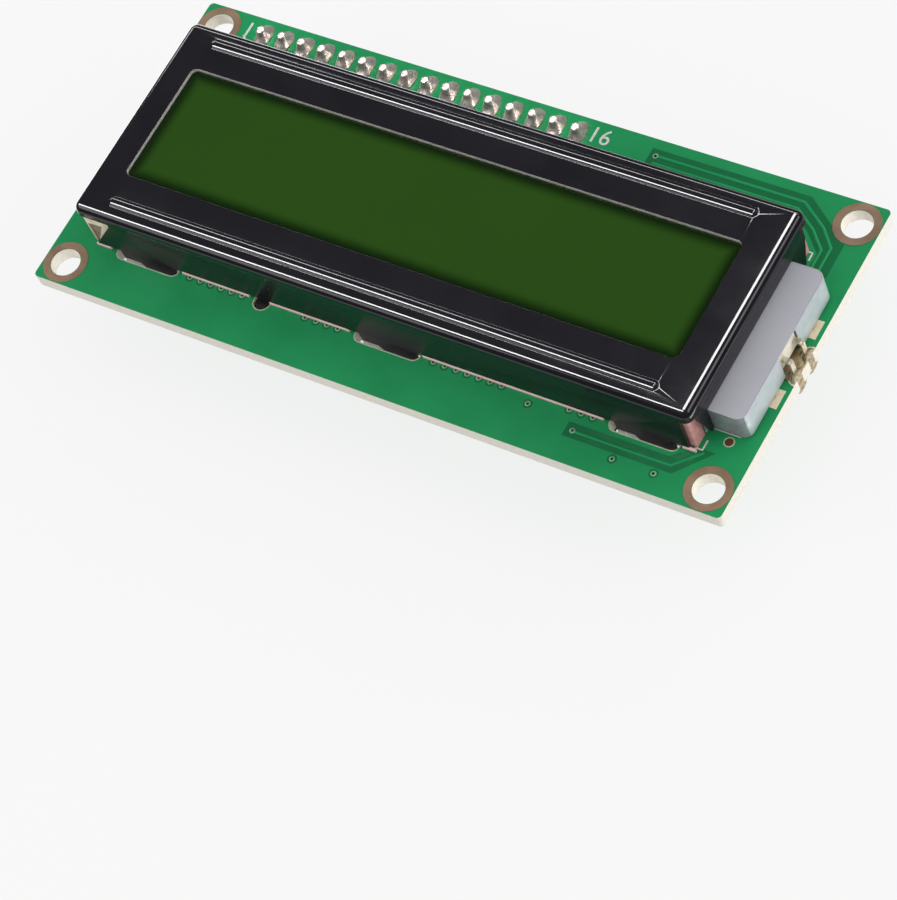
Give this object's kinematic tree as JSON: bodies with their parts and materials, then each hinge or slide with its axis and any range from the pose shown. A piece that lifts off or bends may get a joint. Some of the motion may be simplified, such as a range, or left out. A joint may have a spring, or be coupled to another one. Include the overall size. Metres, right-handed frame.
{
  "type": "character display module",
  "caption": "Two-row character display in a black folded bezel on a green board, with a black serial adapter board behind.",
  "frame": {"origin": "centre of the four mounting holes on the front face of the main board", "axes": "+X to the right and +Y up when the display is read, +Z towards the reader"},
  "size_m": [0.0804, 0.036, 0.0176],
  "materials": {
    "board_green": "glossy green solder mask over glass-fibre board",
    "board_black": "black solder mask over glass-fibre board",
    "bare_copper": "bare, slightly tarnished copper",
    "gilt": "thin gold plating",
    "tin": "bright solder",
    "tinned_pad": "tinned pads",
    "resin": "black poured resin",
    "ceramic_black": "black chip resistor body",
    "bezel_black": "glossy black lacquered steel sheet",
    "film_clear": "polarizer film",
    "display_glass": "display glass",
    "zebra_pink": "pink silicone strip",
    "film_white": "white film",
    "guide_clear": "clear acrylic block",
    "film_grey": "grey film",
    "lamp_white": "white lamp body",
    "pin_metal": "plated square pins",
    "moulding_black": "black moulded insulator",
    "chip_black": "moulded chip body",
    "trimmer_blue": "blue moulded case",
    "rotor_metal": "rotor",
    "cap_grey": "dark grey jumper cap",
    "capacitor_tan": "tan ceramic",
    "lens_clear": "milky lamp lens"
  },
  "bodies": {
    "module": {"main_board": "board_green", "mounting_rings": "bare_copper", "tongue_pads": "bare_copper", "lamp_pads": "gilt", "edge_pads": "gilt", "empty_pads": "bare_copper", "board_resistor_pads": "tinned_pad", "board_resistor_bodies": "ceramic_black", "board_resistor_ends": "tin", "controller_cover": "resin", "driver_cover": "resin", "bezel": "bezel_black", "front_polarizer": "film_clear", "front_glass": "display_glass", "rear_glass": "display_glass", "rear_polarizer": "film_clear", "upper_zebra_strip": "zebra_pink", "lower_zebra_strip": "zebra_pink", "diffuser_film": "film_white", "light_guide": "guide_clear", "light_guide_film": "film_grey", "reflector_film": "film_white", "backlight_led": "lamp_white", "backlight_leads": "tin", "edge_solder": "tin", "display_pins": "pin_metal", "pin_spacer": "moulding_black", "front_solder": "tin", "adapter_solder": "tin", "adapter_board": "board_black", "adapter_pads": "tinned_pad", "expander_chip": "chip_black", "expander_leads": "tin", "trimmer_body": "trimmer_blue", "trimmer_leads": "tin", "tail_solder": "tin", "bus_header_block": "moulding_black", "bus_header_pins": "pin_metal", "jumper_header_block": "moulding_black", "jumper_header_pins": "pin_metal", "power_light": "lens_clear", "power_light_ends": "tin", "transistor_body": "chip_black", "transistor_leads": "tin", "capacitor_body": "capacitor_tan", "capacitor_ends": "tin", "adapter_resistor_bodies": "ceramic_black", "adapter_resistor_ends": "tin"},
    "rotor": {"trimmer_rotor": "rotor_metal"},
    "cap": {"jumper_cap": "cap_grey", "jumper_clip": "pin_metal"}
  },
  "joints": [
    {"name": "rotor_turn", "type": "hinge", "parent": "module", "child": "rotor", "pos_m": [-0.0231, 0.0094, -0.0106], "axis": [0, 0, -1], "range_deg": [-120, 120]},
    {"name": "cap_slide", "type": "slide", "parent": "module", "child": "cap", "axis": [1, 0, 0], "range_m": [0, 0.008]}
  ]
}
